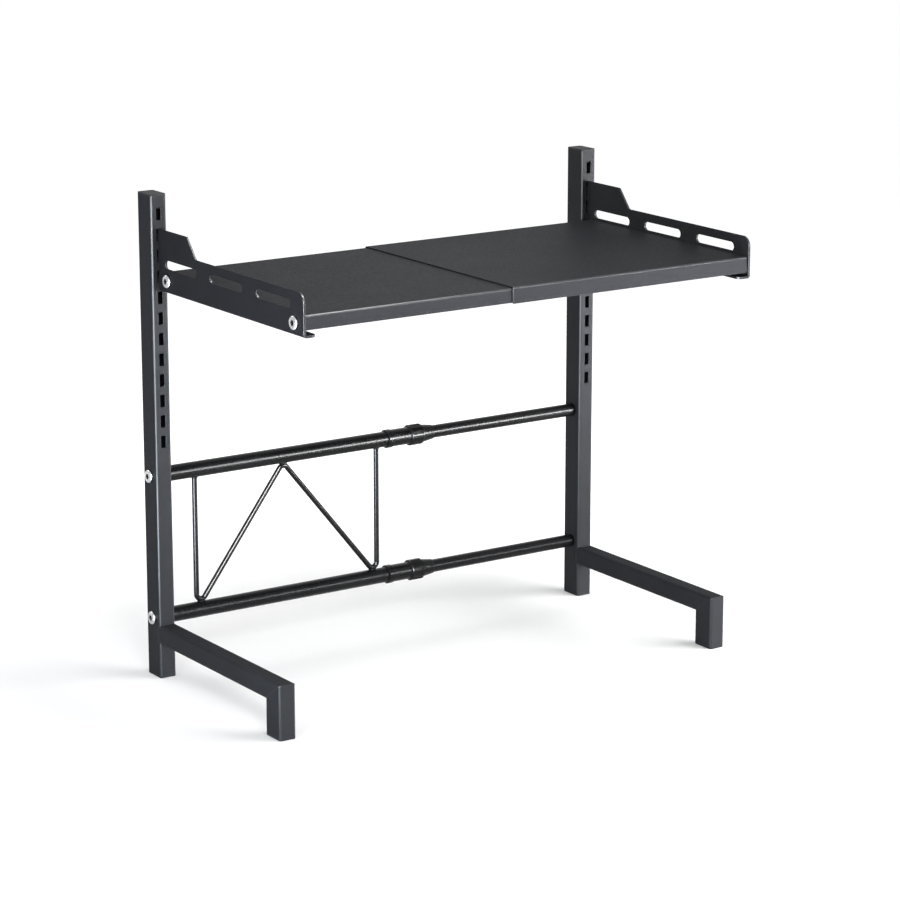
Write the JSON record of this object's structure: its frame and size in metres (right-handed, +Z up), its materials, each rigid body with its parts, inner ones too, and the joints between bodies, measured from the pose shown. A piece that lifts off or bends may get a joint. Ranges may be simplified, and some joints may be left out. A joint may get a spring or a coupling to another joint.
{
  "type": "microwave shelf rack",
  "caption": "Free-standing steel rack with slotted uprights, telescopic rear rails locked by twist nuts, and a sliding tray shelf on hook-in side brackets, for standing an oven over a worktop.",
  "frame": {"origin": "on the floor, under the middle of the rack's box at full width", "axes": "+X to the right along the shelf, +Y to the back, +Z up"},
  "size_m": [0.6068, 0.333, 0.55],
  "materials": {
    "frame_coat": "fine-grained satin powder coat",
    "rail_coat": "smooth satin powder coat",
    "shelf_coat": "fine-grained satin powder coat",
    "collar_plastic": "moulded, semi-gloss",
    "plug_plastic": "moulded, matt",
    "bright_steel": "bright plated",
    "plain_steel": "zinc plated"
  },
  "bodies": {
    "left_frame": {"left_upright": "frame_coat", "left_foot_beam": "frame_coat", "left_front_leg": "frame_coat", "left_upright_cap": "plug_plastic", "left_rear_foot_plug": "plug_plastic", "left_front_foot_plug": "plug_plastic", "upper_outer_rail": "rail_coat", "lower_outer_rail": "rail_coat", "left_rail_inserts": "plain_steel", "left_rail_bolts": "bright_steel", "truss_wire": "rail_coat", "upper_lock_sleeve": "collar_plastic", "lower_lock_sleeve": "collar_plastic", "upper_collet_ring": "collar_plastic", "lower_collet_ring": "collar_plastic"},
    "upper_lock": {"upper_lock_nut": "collar_plastic"},
    "lower_lock": {"lower_lock_nut": "collar_plastic"},
    "right_frame": {"right_upright": "frame_coat", "right_foot_beam": "frame_coat", "right_front_leg": "frame_coat", "right_upright_cap": "plug_plastic", "right_rear_foot_plug": "plug_plastic", "right_front_foot_plug": "plug_plastic", "upper_inner_rail": "rail_coat", "lower_inner_rail": "rail_coat", "upper_glide_plug": "collar_plastic", "lower_glide_plug": "collar_plastic", "right_rail_inserts": "plain_steel", "right_rail_bolts": "bright_steel"},
    "left_shelf": {"left_bracket": "shelf_coat", "left_shelf_plate": "shelf_coat", "left_shelf_screws": "bright_steel", "left_shelf_nuts": "plain_steel"},
    "right_shelf": {"right_bracket": "shelf_coat", "right_shelf_plate": "shelf_coat", "right_shelf_screws": "bright_steel", "right_shelf_nuts": "plain_steel"}
  },
  "joints": [
    {"name": "width_slide", "type": "slide", "parent": "left_frame", "child": "right_frame", "axis": [1, 0, 0], "range_m": [-0.2, 0]},
    {"name": "upper_lock_turn", "type": "hinge", "parent": "left_frame", "child": "upper_lock", "pos_m": [0.05, 0.1515, 0.232], "axis": [1, 0, 0], "range_deg": [0, 180]},
    {"name": "lower_lock_turn", "type": "hinge", "parent": "left_frame", "child": "lower_lock", "pos_m": [0.05, 0.1515, 0.068], "axis": [1, 0, 0], "range_deg": [0, 180]},
    {"name": "left_shelf_lift", "type": "slide", "parent": "left_frame", "child": "left_shelf", "axis": [0, 0, 1], "range_m": [0, 0.0065]},
    {"name": "right_shelf_lift", "type": "slide", "parent": "right_frame", "child": "right_shelf", "axis": [0, 0, 1], "range_m": [0, 0.0065]}
  ],
  "couplings": [
    {"joint": "right_shelf_lift", "follows": "left_shelf_lift", "ratio": 1}
  ]
}
